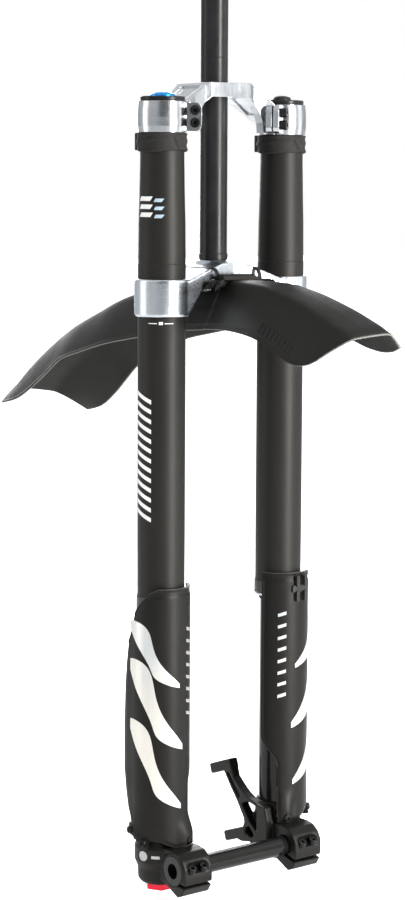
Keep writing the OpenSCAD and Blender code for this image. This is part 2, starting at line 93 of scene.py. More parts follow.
def make_camera():
    data = bpy.data.cameras.new("camera")
    data.lens = 85.56
    data.shift_x = -0.0503
    data.shift_y = -0.0603
    data.dof.use_dof = False
    camera = bpy.data.objects.new("camera", data)
    bpy.context.scene.collection.objects.link(camera)
    a, t = CAMERA_AZIMUTH, CAMERA_PITCH
    back = Vector((-math.sin(a) * math.cos(t), -math.cos(a) * math.cos(t), math.sin(t)))
    right = Vector((math.cos(a), -math.sin(a), 0))
    turn = Matrix((right, back.cross(right), back)).transposed().to_4x4()
    turn = turn @ Matrix.Rotation(CAMERA_ROLL, 4, "Z")
    camera.matrix_world = Matrix.Translation(CAMERA_PLACE) @ turn
    bpy.context.scene.camera = camera


def make_softbox(name, azimuth, distance, height, size, power, colour=(1, 1, 1)):
    """A soft light that stands at an azimuth (0 is the front, 90 the +X side) and faces the fork."""
    data = bpy.data.lights.new(name, "AREA")
    data.shape = "RECTANGLE"
    data.size, data.size_y = size
    data.energy = power
    data.color = colour
    light = bpy.data.objects.new(name, data)
    a = math.radians(azimuth)
    light.location = (math.sin(a) * distance, -math.cos(a) * distance, height)
    target = Vector((0, 0, -0.18))
    light.rotation_euler = (light.location - target).to_track_quat("Z", "Y").to_euler()
    light.visible_camera = False
    bpy.context.scene.collection.objects.link(light)


def make_world(low, high, shade, shade_azimuth, shade_half_width):
    """White behind the fork. What lights it grows from low up to high, with a dimmer upright band."""
    world = bpy.data.worlds.new("studio")
    bpy.context.scene.world = world
    world.use_nodes = True
    tree = world.node_tree

    def node(kind, **values):
        made = tree.nodes.new(kind)
        for key, value in values.items():
            setattr(made, key, value)
        return made

    def span(value, *numbers):
        made = node("ShaderNodeMapRange", interpolation_type="SMOOTHSTEP")
        tree.links.new(value, made.inputs[0])
        for i, number in enumerate(numbers):
            made.inputs[i + 1].default_value = number
        return made.outputs[0]

    paper = tree.nodes["Background"]
    paper.inputs["Color"].default_value = (1, 1, 1, 1)
    paper.inputs["Strength"].default_value = 1.0
    turn = node("ShaderNodeVectorRotate", rotation_type="Z_AXIS")
    turn.inputs["Angle"].default_value = -math.radians(shade_azimuth)
    tree.links.new(node("ShaderNodeTexCoord").outputs["Generated"], turn.inputs["Vector"])
    split = node("ShaderNodeSeparateXYZ")
    tree.links.new(turn.outputs[0], split.inputs[0])
    behind = node("ShaderNodeMath", operation="MULTIPLY")
    tree.links.new(split.outputs[1], behind.inputs[0])
    behind.inputs[1].default_value = -1.0
    azimuth = node("ShaderNodeMath", operation="ARCTAN2")
    tree.links.new(split.outputs[0], azimuth.inputs[0])
    tree.links.new(behind.outputs[0], azimuth.inputs[1])
    away = node("ShaderNodeMath", operation="ABSOLUTE")
    tree.links.new(azimuth.outputs[0], away.inputs[0])
    half = math.radians(shade_half_width)
    band = span(away.outputs[0], half * 0.35, half, shade, 1.0)
    rise = span(split.outputs[2], -0.35, 0.6, low, high)
    strength = node("ShaderNodeMath", operation="MULTIPLY")
    tree.links.new(band, strength.inputs[0])
    tree.links.new(rise, strength.inputs[1])
    room = node("ShaderNodeBackground")
    room.inputs["Color"].default_value = (0.95, 0.975, 1.0, 1)
    tree.links.new(strength.outputs[0], room.inputs["Strength"])
    mix = node("ShaderNodeMixShader")
    tree.links.new(node("ShaderNodeLightPath").outputs["Is Camera Ray"], mix.inputs[0])
    tree.links.new(room.outputs[0], mix.inputs[1])
    tree.links.new(paper.outputs[0], mix.inputs[2])
    tree.links.new(mix.outputs[0], tree.nodes["World Output"].inputs["Surface"])


def make_floor(drop=0.012, size=14.0):
    """A pale floor whose glow grows away from the fork, so that it has no edge or horizon."""
    mesh = bpy.data.meshes.new("floor")
    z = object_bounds()[0].z - drop
    corners = [(-size, -size, z), (size, -size, z), (size, size, z), (-size, size, z)]
    mesh.from_pydata(corners, [], [(0, 1, 2, 3)])
    floor = bpy.data.objects.new("floor", mesh)
    bpy.context.scene.collection.objects.link(floor)
    look = Finish("studio_floor", (0.93, 0.93, 0.93), 0.9)
    look.shader.inputs["Emission Color"].default_value = (1, 1, 1, 1)
    away = look.node("ShaderNodeVectorMath", operation="LENGTH")
    look.link(look.place, away.inputs[0])
    glow = look.span(away.outputs["Value"], 0.75, 1.3, 0.40, 1.0, smooth=True)
    seen = look.node("ShaderNodeLightPath").outputs["Is Camera Ray"]
    look.link(look.math("MULTIPLY", glow, seen), look.shader.inputs["Emission Strength"])
    mesh.materials.append(look.material)


# ---- materials ----

DULL = 0.20  # specular level of the black finishes


class Finish:
    """A procedural material: one Principled shader, and helpers that feed its inputs."""

    def __init__(self, name, colour, roughness, metallic=0.0, coat=0.0, specular=0.5):
        self.material = bpy.data.materials.new(name)
        self.material.use_nodes = True
        self.tree = self.material.node_tree
        self.shader = self.tree.nodes["Principled BSDF"]
        self.colour = (*colour, 1)
        self.roughness = roughness
        self.height = None
        self.shader.inputs["Base Color"].default_value = self.colour
        self.shader.inputs["Roughness"].default_value = roughness
        self.shader.inputs["Metallic"].default_value = metallic
        self.shader.inputs["Coat Weight"].default_value = coat
        self.shader.inputs["Coat Roughness"].default_value = 0.12
        self.shader.inputs["Specular IOR Level"].default_value = specular
        if specular < 0.5:
            self.shader.inputs["Specular Tint"].default_value = (1.0, 0.965, 0.90, 1)
        self.place = self.node("ShaderNodeTexCoord").outputs["Object"]

    def node(self, kind, **values):
        made = self.tree.nodes.new(kind)
        for key, value in values.items():
            setattr(made, key, value)
        return made

    def link(self, source, target):
        self.tree.links.new(source, target)

    def math(self, operation, a, b=0.0, c=None):
        made = self.node("ShaderNodeMath", operation=operation)
        for i, value in enumerate((a, b, c)):
            if value is None:
                continue
            if isinstance(value, (int, float)):
                made.inputs[i].default_value = value
            else:
                self.link(value, made.inputs[i])
        return made.outputs[0]

    def noise(self, size, detail=3.0, stretch=(1, 1, 1), where=None):
        """Noise whose lumps are about size metres across, stretched along an axis."""
        mapping = self.node("ShaderNodeMapping")
        mapping.inputs["Scale"].default_value = [1 / (size * s) for s in stretch]
        self.link(where or self.place, mapping.inputs["Vector"])
        made = self.node("ShaderNodeTexNoise")
        made.inputs["Scale"].default_value = 1.0
        made.inputs["Detail"].default_value = detail
        self.link(mapping.outputs[0], made.inputs["Vector"])
        return made.outputs["Fac"]

    def span(self, value, low, high, start, end, smooth=False):
        made = self.node("ShaderNodeMapRange")
        made.interpolation_type = "SMOOTHSTEP" if smooth else "LINEAR"
        self.link(value, made.inputs[0])
        for i, number in enumerate((low, high, start, end)):
            made.inputs[i + 1].default_value = number
        return made.outputs[0]

    def mix(self, factor, a, b):
        made = self.node("ShaderNodeMix", data_type="RGBA")
        self.link(factor, made.inputs[0])
        for i, value in ((6, a), (7, b)):
            if isinstance(value, tuple):
                made.inputs[i].default_value = (*value[:3], 1)
            else:
                self.link(value, made.inputs[i])
        return made.outputs[2]

    def tint(self, factor, other):
        """Mixes another colour into the base where the factor is high."""
        source = self.shader.inputs["Base Color"]
        before = source.links[0].from_socket if source.links else self.colour
        self.link(self.mix(factor, before, other), source)

    def vary_roughness(self, value, low, high, start, end):
        self.link(self.span(value, low, high, start, end), self.shader.inputs["Roughness"])

    def relief(self, height, distance, strength=1.0):
        """Adds a bump of that height in metres on top of those already there."""
        bump = self.node("ShaderNodeBump")
        bump.inputs["Strength"].default_value = strength
        bump.inputs["Distance"].default_value = distance
        self.link(height, bump.inputs["Height"])
        target = self.shader.inputs["Normal"]
        if target.links:
            self.link(target.links[0].from_socket, bump.inputs["Normal"])
        self.link(bump.outputs[0], target)

    def round_edges(self, radius):
        """Softens hard edges by that radius in metres. Called before any relief."""
        bevel = self.node("ShaderNodeBevel", samples=4)
        bevel.inputs["Radius"].default_value = radius
        self.link(bevel.outputs[0], self.shader.inputs["Normal"])

    def worn_edges(self, radius, colour, amount=0.5):
        """Rubs the finish thin along convex edges, broken up by noise."""
        bevel = self.node("ShaderNodeBevel", samples=4)
        bevel.inputs["Radius"].default_value = radius
        flat = self.node("ShaderNodeNewGeometry").outputs["Normal"]
        dot = self.node("ShaderNodeVectorMath", operation="DOT_PRODUCT")
        self.link(bevel.outputs[0], dot.inputs[0])
        self.link(flat, dot.inputs[1])
        edge = self.span(dot.outputs["Value"], 0.985, 0.9, 0.0, 1.0)
        broken = self.math("MULTIPLY", edge, self.noise(0.004, 4.0))
        self.tint(self.math("MULTIPLY", broken, amount), colour)

    def round_axis(self, x, y, radius):
        """A vector of (distance round an upright axis, height), in metres."""
        split = self.node("ShaderNodeSeparateXYZ")
        self.link(self.place, split.inputs[0])
        dx = self.math("SUBTRACT", split.outputs[0], x)
        dy = self.math("SUBTRACT", split.outputs[1], y)
        angle = self.math("ARCTAN2", dx, dy)
        join = self.node("ShaderNodeCombineXYZ")
        self.link(self.math("MULTIPLY", angle, radius), join.inputs[0])
        self.link(split.outputs[2], join.inputs[1])
        return join.outputs[0]

    def twill(self, where, cell):
        """Height of a 2 by 2 twill cloth of that thread width, from 0 to 1."""
        split = self.node("ShaderNodeSeparateXYZ")
        self.link(where, split.inputs[0])
        u = self.math("DIVIDE", split.outputs[0], cell)
        v = self.math("DIVIDE", split.outputs[1], cell)
        steps = self.math("ADD", self.math("FLOOR", u), self.math("FLOOR", v))
        over = self.math("LESS_THAN", self.math("FLOORED_MODULO", steps, 4.0), 2.0)
        across = self.math("PINGPONG", u, 0.5)
        along = self.math("PINGPONG", v, 0.5)
        warp = self.math("MULTIPLY", across, over)
        weft = self.math("MULTIPLY", along, self.math("SUBTRACT", 1.0, over))
        return self.math("MULTIPLY", self.math("ADD", warp, weft), 2.0)


def polished_alloy():
    """Bright machined and polished aluminium with fine upright polishing marks."""
    look = Finish("polished_alloy", (0.53, 0.545, 0.56), 0.2, metallic=1.0)
    look.round_edges(0.0010)
    brush = look.noise(0.0006, 4.0, (1, 1, 30))
    haze = look.noise(0.018, 3.0)
    look.vary_roughness(look.math("ADD", brush, haze), 0.6, 1.4, 0.13, 0.30)
    look.tint(look.span(haze, 0.35, 0.75, 0.0, 0.35), (0.38, 0.40, 0.43))
    look.relief(brush, 0.000012)
    look.relief(look.noise(0.009, 2.0), 0.00006)
    return look.material


def forged_alloy():
    """Tumbled and polished forging: smoother, slightly blue, with faint flow marks."""
    look = Finish("forged_alloy", (0.56, 0.59, 0.62), 0.26, metallic=1.0)
    grain = look.noise(0.0009, 5.0)
    flow = look.noise(0.022, 3.0, (2.5, 1, 1))
    look.vary_roughness(look.math("ADD", grain, flow), 0.6, 1.4, 0.20, 0.36)
    look.tint(look.span(flow, 0.4, 0.7, 0.0, 0.4), (0.42, 0.46, 0.50))
    look.relief(grain, 0.000015)
    look.relief(flow, 0.00010)
    return look.material


def satin_black(name, colour, roughness, grain=0.0007, depth=0.00003, wear=0.0):
    """Anodised or powder coated black metal with a fine grain."""
    look = Finish(name, colour, roughness, specular=DULL)
    look.round_edges(0.0006)
    fine = look.noise(grain, 4.0)
    broad = look.noise(0.03, 3.0)
    look.vary_roughness(look.math("ADD", fine, broad), 0.6, 1.4, roughness - 0.09, roughness + 0.11)
    look.tint(look.span(broad, 0.35, 0.75, 0.0, 0.5), tuple(c * 1.5 + 0.001 for c in colour))
    look.relief(fine, depth)
    if wear:
        look.worn_edges(0.0007, (0.30, 0.29, 0.28), wear)
    return look.material


def woven_tube(side):
    """Matte lacquer over a carbon cloth whose twill just shows."""
    x, y = LEG_AXES[side]
    look = Finish("woven_tube_" + side, (0.005, 0.0047, 0.0042), 0.36, specular=DULL)
    wrap = look.round_axis(x * MM, y * MM, TUBE_R * MM)
    cloth = look.twill(wrap, 0.0011)
    broad = look.noise(0.04, 3.0, (1, 1, 3))
    look.tint(look.span(cloth, 0.1, 0.9, 0.0, 0.55), (0.016, 0.0153, 0.014))
    look.tint(look.span(broad, 0.35, 0.75, 0.0, 0.35), (0.012, 0.011, 0.0098))
    look.vary_roughness(look.math("ADD", cloth, broad), 0.3, 1.5, 0.36, 0.52)
    look.relief(cloth, 0.00003)
    look.relief(look.noise(0.0004, 2.0), 0.00001)
    return look.material


def moulded(name, colour, roughness, texture=0.0009, depth=0.00005, scuff=0.25):
    """Moulded plastic: a fine spark-eroded texture, and long light scuffs."""
    look = Finish(name, colour, roughness, specular=DULL)
    pebble = look.noise(texture, 3.0)
    broad = look.noise(0.035, 4.0)
    scratch = look.noise(0.0022, 5.0, (1.0, 6.0, 14.0))
    look.vary_roughness(look.math("ADD", pebble, broad), 0.6, 1.4, roughness - 0.08, roughness + 0.12)
    look.tint(look.span(broad, 0.35, 0.8, 0.0, 0.5), tuple(c * 1.45 for c in colour))
    look.tint(look.span(scratch, 0.66, 0.8, 0.0, scuff), tuple(c * 2.5 + 0.004 for c in colour))
    look.relief(pebble, depth)
    return look.material


def rubber(name, colour, roughness=0.7):
    """Matte rubber with a dusty bloom."""
    look = Finish(name, colour, roughness, specular=DULL)
    skin = look.noise(0.0012, 5.0)
    bloom = look.noise(0.012, 4.0)
    look.tint(look.span(bloom, 0.45, 0.8, 0.0, 0.5), tuple(c * 1.8 + 0.003 for c in colour))
    look.vary_roughness(skin, 0.3, 0.7, roughness - 0.1, roughness + 0.15)
    look.relief(skin, 0.00012)
    return look.material


def glossy_stanchion():
    """Hard black anodising, ground and honed: glossy, with fine rings."""
    look = Finish("stanchion_black", (0.006, 0.006, 0.006), 0.18, coat=0.12, specular=DULL)
    rings = look.noise(0.0004, 3.0, (40, 40, 1))
    look.vary_roughness(rings, 0.3, 0.7, 0.12, 0.24)
    look.relief(rings, 0.000006)
    look.tint(look.span(look.noise(0.03, 3.0), 0.4, 0.8, 0.0, 0.4), (0.012, 0.0115, 0.011))
    return look.material


def anodised(name, colour, roughness=0.25):
    """Bright dyed anodising over turned metal."""
    look = Finish(name, colour, roughness, metallic=0.85, coat=0.3)
    look.round_edges(0.0004)
    turned = look.noise(0.0005, 3.0, (1, 1, 8))
    look.vary_roughness(turned, 0.3, 0.7, roughness - 0.07, roughness + 0.1)
    look.tint(look.span(look.noise(0.004, 3.0), 0.4, 0.8, 0.0, 0.3), tuple(c * 0.6 for c in colour))
    look.relief(turned, 0.00001)
    return look.material


def bare_metal(name, colour, roughness):
    """Turned inner parts, seen only in section."""
    look = Finish(name, colour, roughness, metallic=1.0)
    turned = look.noise(0.0006, 3.0, (1, 1, 10))
    look.vary_roughness(turned, 0.3, 0.7, roughness - 0.08, roughness + 0.1)
    look.relief(turned, 0.00001)
    return look.material


def porous(name, colour):
    """Open cell foam."""
    look = Finish(name, colour, 0.95)
    cells = look.noise(0.0006, 2.0)
    look.tint(look.span(cells, 0.45, 0.65, 0.0, 1.0), tuple(c * 0.3 for c in colour))
    look.relief(cells, 0.0002)
    return look.material


def printed(name, colour, roughness=0.35, metallic=0.0, sheen_to=None):
    """Thin transfer film; a metallic one drifts between two silvers."""
    look = Finish(name, colour, roughness, metallic=metallic, coat=0.2)
    drift = look.noise(0.045, 2.0, (1, 1, 4))
    if sheen_to:
        look.tint(look.span(drift, 0.35, 0.65, 0.0, 1.0, smooth=True), sheen_to)
    fleck = look.noise(0.0005, 3.0)
    look.vary_roughness(fleck, 0.3, 0.7, roughness - 0.06, roughness + 0.1)
    look.tint(look.span(fleck, 0.62, 0.8, 0.0, 0.4), tuple(c * 0.7 for c in colour))
    return look.material


LOOKS = {
    "polished_alloy": polished_alloy(),
    "steerer_coat": satin_black("steerer_satin", (0.010, 0.010, 0.011), 0.30, 0.0004, 0.00001),
    "stanchion_coat": glossy_stanchion(),
    "forged_black": satin_black("forged_black", (0.0045, 0.0043, 0.0038), 0.38, wear=0.16),
    "guard_plastic": moulded("guard_plastic", (0.003, 0.0029, 0.0027), 0.42, 0.0008, 0.00003),
    "mudguard_plastic": moulded("mudguard_plastic", (0.007, 0.0067, 0.006), 0.50),
    "bumper_rubber": rubber("bumper_rubber", (0.014, 0.0135, 0.013)),
    "seal_rubber": rubber("seal_rubber", (0.008, 0.008, 0.008), 0.5),
    "seal_ring": satin_black("seal_ring", (0.045, 0.044, 0.043), 0.34),
    "cap_black": satin_black("cap_black", (0.008, 0.008, 0.009), 0.30, wear=0.2),
    "bolt_black": satin_black("bolt_black", (0.006, 0.006, 0.007), 0.24, wear=0.35),
    "knob_blue": anodised("knob_blue", (0.01, 0.30, 0.78)),
    "knob_red": anodised("knob_red", (0.62, 0.010, 0.030)),
    "cap_plastic": moulded("cap_plastic", (0.018, 0.018, 0.018), 0.38, 0.0006, 0.00002),
    "tie_plastic": moulded("tie_plastic", (0.012, 0.012, 0.012), 0.34, 0.0012, 0.00002),
    "bushing_lining": bare_metal("bushing_lining", (0.30, 0.31, 0.26), 0.4),
    "foam": porous("oil_foam", (0.09, 0.09, 0.07)),
    "cartridge_alloy": bare_metal("cartridge_alloy", (0.42, 0.43, 0.45), 0.3),
    "rod_steel": bare_metal("rod_steel", (0.75, 0.76, 0.78), 0.12),
    "valve_brass": bare_metal("valve_brass", (0.62, 0.50, 0.26), 0.3),
    "bumper_elastomer": rubber("bumper_elastomer", (0.12, 0.12, 0.09)),
}


def node_slots():
    """The material slot of every CAD node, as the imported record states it."""
    found = {}
    for part in frame["record"]["subparts"]:
        found[part["node"]] = part["material_slot"]
    return found


def paint_frame():
    """Gives every CAD node the finish of its slot; the outer tubes show their cloth."""
    slots = node_slots()
    woven = {"outer_tube_" + side: woven_tube(side) for side in SIDES}
    woven["through_axle"] = glossy_stanchion()
    for name, ob in NODES.items():
        look = woven.get(name) or LOOKS[slots[name]]
        if not ob.data.materials:
            ob.data.materials.append(look)
        for slot in ob.material_slots:
            slot.material = look


# ---- mesh helpers ----

def ease(value, start, end):
    """Smooth step from 0 at start to 1 at end."""
    u = min(1.0, max(0.0, (value - start) / (end - start)))
    return u * u * (3 - 2 * u)


def lookup(value, table):
    """Straight-line interpolation in a short table of (at, result) pairs."""
    if value <= table[0][0]:
        return table[0][1]
    for (low, low_result), (high, high_result) in zip(table, table[1:]):
        if value <= high:
            return low_result + (high_result - low_result) * (value - low) / (high - low)
    return table[-1][1]


def place(side, x, y, z):
    """A point given beside a leg, x outwards, as a point of the fork."""
    axis_x, axis_y = LEG_AXES[side]
    return (axis_x + SIDES[side] * x, axis_y + y, z)


def piece(name, points, faces, body, slot, look, sharp=35, stands_for=()):
    """A mesh piece in millimetres that rides on a body and has a finish."""
    mesh = bpy.data.meshes.new(name)
    mesh.from_pydata([Vector(p) * MM for p in points], [], faces)
    tidy = bmesh.new()
    tidy.from_mesh(mesh)
    bmesh.ops.remove_doubles(tidy, verts=tidy.verts, dist=1e-7)
    bmesh.ops.recalc_face_normals(tidy, faces=tidy.faces)
    tidy.to_mesh(mesh)
    tidy.free()
    mesh.shade_smooth()
    mesh.set_sharp_from_angle(angle=math.radians(sharp))
    mesh.materials.append(look)
    ob = bpy.data.objects.new(name, mesh)
    bpy.context.scene.collection.objects.link(ob)
    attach(ob, body)
    if stands_for:
        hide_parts(*stands_for)
    return ob


def bevel(ob, width, segments=2, angle=50):
    """Rounds the hard edges of a piece, in millimetres."""
    rounded = ob.modifiers.new("rounded", "BEVEL")
    rounded.width = width * MM
    rounded.segments = segments
    rounded.limit_method = "ANGLE"
    rounded.angle_limit = math.radians(angle)
    rounded.use_clamp_overlap = True
    rounded.harden_normals = False
    return ob


def grid_faces(rows, cols, start=0, closed=False):
    faces = []
    for i in range(rows - 1):
        for j in range(cols if closed else cols - 1):
            a, b = start + i * cols + j, start + i * cols + (j + 1) % cols
            faces.append((a, b, b + cols, a + cols))
    return faces


def sheet_solid(outer, inner):
    """Points and faces of a closed sheet between two equal grids of points."""
    rows, cols = len(outer), len(outer[0])
    count = rows * cols
    points = [p for row in outer for p in row] + [p for row in inner for p in row]
    faces = grid_faces(rows, cols) + grid_faces(rows, cols, count)
    border = [j for j in range(cols)]
    border += [i * cols + cols - 1 for i in range(1, rows)]
    border += [(rows - 1) * cols + j for j in range(cols - 2, -1, -1)]
    border += [i * cols for i in range(rows - 2, 0, -1)]
    for a, b in zip(border, border[1:] + border[:1]):
        faces.append((a, b, b + count, a + count))
    return points, faces


def ring_solid(rings):
    """Points and faces of a closed tube-like body: each ring is a loop, and the last joins the first."""
    count = len(rings[0])
    points = [p for ring in rings for p in ring]
    faces = grid_faces(len(rings), count, closed=True)
    last = (len(rings) - 1) * count
    for j in range(count):
        k = (j + 1) % count
        faces.append((last + j, last + k, k, j))
    return points, faces


def join(parts):
    """One list of points and faces from several."""
    points, faces = [], []
    for more_points, more_faces in parts:
        start = len(points)
        points += more_points
        faces += [tuple(i + start for i in face) for face in more_faces]
    return points, faces


def capped(rings):
    """Points and faces of a rod: loops in a row with flat ends."""
    count = len(rings[0])
    points = [p for ring in rings for p in ring]
    faces = grid_faces(len(rings), count, closed=True)
    last = (len(rings) - 1) * count
    faces.append(tuple(range(count - 1, -1, -1)))
    faces.append(tuple(range(last, last + count)))
    return points, faces


def patch(corners, across=6, down=6):
    """A grid of (s, z) places inside a four-cornered outline."""
    a, b, c, d = (np.array(p, float) for p in corners)
    grid = []
    for v in np.linspace(0, 1, down + 1):
        left, right = a + (d - a) * v, b + (c - b) * v
        grid.append([tuple(left + (right - left) * u) for u in np.linspace(0, 1, across + 1)])
    return grid


def film(name, grids, skin, body, slot, look, lift=0.05, thick=0.12):
    """Thin printed shapes that lie on a surface; skin(s, z, lift) is a point over it."""
    parts = []
    for grid in grids:
        top = [[skin(s, z, lift + thick) for s, z in row] for row in grid]
        under = [[skin(s, z, lift) for s, z in row] for row in grid]
        parts.append(sheet_solid(top, under))
    return piece(name, *join(parts), body, slot, look, sharp=60)


# ---- mudguard ----

# One row per station, front to back: crest y, crest z, skirt edge y, skirt edge z, skirt edge x.
FENDER = [
    (-250, -64.5, -232, -84, 46), (-238, -58.5, -220, -88.5, 47.5), (-222, -52.5, -205, -90, 49),
    (-197, -43.5, -187, -87.5, 50), (-166, -34, -163, -79.5, 50), (-138, -27, -137, -72, 49),
    (-111, -22, -111, -69, 47), (-79, -20.3, -79, -68, 45.5), (-50, -20, -50, -69, 44.5),
    (-46, -20.3, -46, -69, 44.4), (-41, -22.8, -41, -70, 44.2), (-5, -23, -5, -73, 44),
    (26, -26.5, 26, -77, 45), (60, -32.5, 66, -84, 47.5), (106, -39.5, 110, -92, 50.5),
    (141, -49.5, 141, -100, 52), (179, -65, 175, -111, 53), (222, -83, 209, -123, 54),
    (252, -98, 237, -142, 55), (285, -117.5, 262, -159, 57), (315, -138, 291, -175, 59),
    (345, -163, 323, -183, 60),
]
FENDER_WALL = 2.6
FENDER_TWIST = (6.0, -7.5)  # lean in degrees at the front end and at the back end


def fender_station(u):
    """A station between the rows of FENDER, on a smooth curve through them."""
    i = min(int(u), len(FENDER) - 2)
    t = u - i
    rows = [np.array(FENDER[max(0, min(len(FENDER) - 1, i + k))], float) for k in (-1, 0, 1, 2)]
    slope_a = (rows[2] - rows[0]) / 2
    slope_b = (rows[3] - rows[1]) / 2
    step = rows[2] - rows[1]
    limit = np.abs(step) * 1.6
    slope_a = np.clip(slope_a, -limit, limit)
    slope_b = np.clip(slope_b, -limit, limit)
    h = (2 * t**3 - 3 * t**2 + 1, t**3 - 2 * t**2 + t, 3 * t**2 - 2 * t**3, t**3 - t**2)
    return h[0] * rows[1] + h[1] * slope_a + h[2] * rows[2] + h[3] * slope_b


def fender_across(t):
    return t + 0.05 * math.sin(math.pi * t)


def fender_drop(t):
    """Nearly flat out to the shoulder, then a straight skirt."""
    def bend(v):
        u = (v - 0.40) / 0.60
        return 0.5 * (u + math.sqrt(u * u + 0.012))
    return 0.03 * t + 0.97 * (bend(t) - bend(0)) / (bend(1) - bend(0))


def fender_lean(y):
    """Lean of the section at y, in radians: the moulding is twisted a little along its length."""
    front, back = FENDER_TWIST
    degrees = front * ease(-y, 60, 200) + back * ease(y, 90, 260)
    return math.radians(degrees)


def fender_point(u, t, inset, proud=0.0):
    """Point of the section at station u, t from -1 (damper side) to 1; proud lifts it off the wall."""
    crest_y, crest_z, edge_y, edge_z, edge_x = fender_station(u)
    a = abs(t)
    wide = fender_across(a) / fender_across(1)
    drop = fender_drop(a) / fender_drop(1)
    side = ease(a, 0.35, 0.95)
    inset = inset - proud
    x = (edge_x - inset * 0.98 * side) * wide
    y = crest_y + (edge_y - crest_y) * drop
    z = crest_z + (edge_z - crest_z) * drop - inset * (1 - side)
    z -= 9.0 * (1 - ease(x, 21.5, 25)) * (1 - ease(abs(y), 24, 28))
    x = math.copysign(x, t) if t else 0.0
    return (x, y - 0.2 * x * ease(-y, 160, 230), z + x * math.sin(fender_lean(y)))


def fender_relief(u, t):
    """Height of the moulded details over the plain wall."""
    a = abs(t)
    crest_y, _, edge_y, _, _ = fender_station(u)
    y = crest_y + (edge_y - crest_y) * fender_drop(a) / fender_drop(1)
    rim = 0.7 * ease(a, 0.955, 0.985)
    nose = 0.5 * (1 - ease(u, 0.1, 0.35)) + 0.5 * ease(u, 20.6, 20.85)
    panel = -1.1 * ease(a, 0.70, 0.74) * (1 - ease(a, 0.925, 0.95))
    panel *= ease(y, -76, -72) * (1 - ease(y, 8, 14))
    facet = -1.0 * ease(a, 0.44, 0.50) * (1 - ease(a, 0.60, 0.66)) * ease(y, -80, -68)
    facet *= 1 - ease(y, -50, -46)
    return rim + nose * (1 - rim) + panel + facet


def bead(run, radius):
    """A round bead along a list of places on the moulding's edge."""
    rings = []
    for i, here in enumerate(run):
        ahead = Vector(run[min(i + 1, len(run) - 1)]) - Vector(run[max(i - 1, 0)])
        along = ahead.normalized()
        side = along.cross(Vector((0, 0, 1))).normalized()
        up = side.cross(along)
        rings.append([tuple(Vector(here) + radius * (math.cos(a) * side + math.sin(a) * up))
                      for a in np.linspace(0, 2 * math.pi, 8, endpoint=False)])
    return capped(rings)


def make_mudguard_edge():
    """The parting bead round the moulding, coloured much lighter than its faces: a painted highlight for
    the edge catching the light.
    """
    # painted highlight: this light grey stands in for light caught along the moulding's edge, not for a
    # lighter plastic
    look = moulded("mudguard_edge", (0.13, 0.125, 0.115), 0.42, 0.0006, 0.00001, 0.1)
    last = len(FENDER) - 1
    half = FENDER_WALL / 2
    loop = [fender_point(u, -1, half) for u in np.linspace(0.02, last - 0.02, 150)]
    loop += [fender_point(last - 0.02, t, half) for t in np.linspace(-1, 1, 60)[1:-1]]
    loop += [fender_point(u, 1, half) for u in np.linspace(last - 0.02, 0.02, 150)]
    loop += [fender_point(0.02, t, half) for t in np.linspace(1, -1, 60)[1:-1]]
    piece("mudguard_bead", *bead(loop + loop[:1], 0.85), "chassis", "mudguard_plastic", look)


def make_mudguard():
    stations = np.linspace(0, len(FENDER) - 1, 148)
    sections = np.concatenate([np.linspace(-1, -0.9, 10), np.linspace(-0.89, 0.89, 76),
                               np.linspace(0.9, 1, 10)])
    outer = [[fender_point(u, t, 0, fender_relief(u, t)) for t in sections] for u in stations]
    inner = [[fender_point(u, t, FENDER_WALL) for t in sections] for u in stations]
    guard = piece("mudguard_shell", *sheet_solid(outer, inner), "chassis", "mudguard_plastic",
                  LOOKS["mudguard_plastic"], sharp=40, stands_for=["mudguard"])
    return bevel(guard, 0.7, 2, 60)


def make_mudguard_marks():
    """Plain slanted bars, slightly raised, on both front skirts."""
    look = moulded("mudguard_mark", (0.002, 0.002, 0.002), 0.25, 0.0006, 0.00001, 0.0)
    for side, sign in SIDES.items():
        grids = []
        for i in range(9):
            u = 5.15 - i * 0.235
            width = 0.12
            grids.append(patch([(u, 0.80), (u - width, 0.80), (u - width + 0.06, 0.915),
                                (u + 0.06, 0.915)], 3, 5))
        film("mudguard_bars_" + side, grids,
             lambda u, a, lift, sign=sign: fender_point(u, sign * a, 0, fender_relief(u, a) + lift),
             "chassis", "mudguard_plastic", look, lift=0.05, thick=0.35)


# ---- leg guards ----

GUARD_WALL = 2.4
GUARD_TOP = [(0, -333), (0.56, -333), (0.64, -337.5), (0.74, -349), (0.85, -364), (1, -390)]
GUARD_BOTTOM = [(0, -601), (0.27, -602), (0.37, -598), (0.45, -594.5), (0.7, -593), (0.82, -595),
                (0.88, -588), (0.94, -575), (1, -566)]
GUARD_REAR = [(-600, 3), (-585, 6), (-562, 14), (-548, 17.5), (-525, 21), (-475, 21), (-437, 19.5),
              (-413, 17), (-387, 12.5), (-365, 8), (-333, 4)]


def guard_inner_angle(z):
    return -74 + 38 * (1 - ease(z, -540, -508))


def guard_radius(angle, z):
    """Radius of the guard, with a flared outer foot and an ear at its inner foot."""
    flare = 1.6 * (1 - ease(z, -590, -560)) * ease(angle, 40, 85)
    ear = 5.6 * (1 - ease(z, -592, -566)) * ease(angle, -74, -56) * (1 - ease(angle, -20, 8))
    return 29.6 + 2.4 * ease(angle, -72, 50) + flare + ear


def guard_point(side, c, z, inset):
    first = guard_inner_angle(z)
    angle = first + (90 - first) * c / 0.8 if c < 0.8 else 90
    r = guard_radius(angle, z) - inset
    back = 0 if c < 0.8 else (c - 0.8) / 0.2 * lookup(z, GUARD_REAR)
    a = math.radians(angle)
    return place(side, r * math.sin(a) - back * 0.07, back - r * math.cos(a), z)


def guard_skin(side):
    """A function that wraps (s, z) round the guard: s is millimetres outwards from the front."""
    def skin(s, z, lift):
        turn = min(s / 31.0, math.pi / 2)
        back = s - 31.0 * turn
        r = guard_radius(math.degrees(turn), z) + lift + guard_panel(z + 333)
        return place(side, r * math.sin(turn) - back * 0.07, back - r * math.cos(turn), z)
    return skin


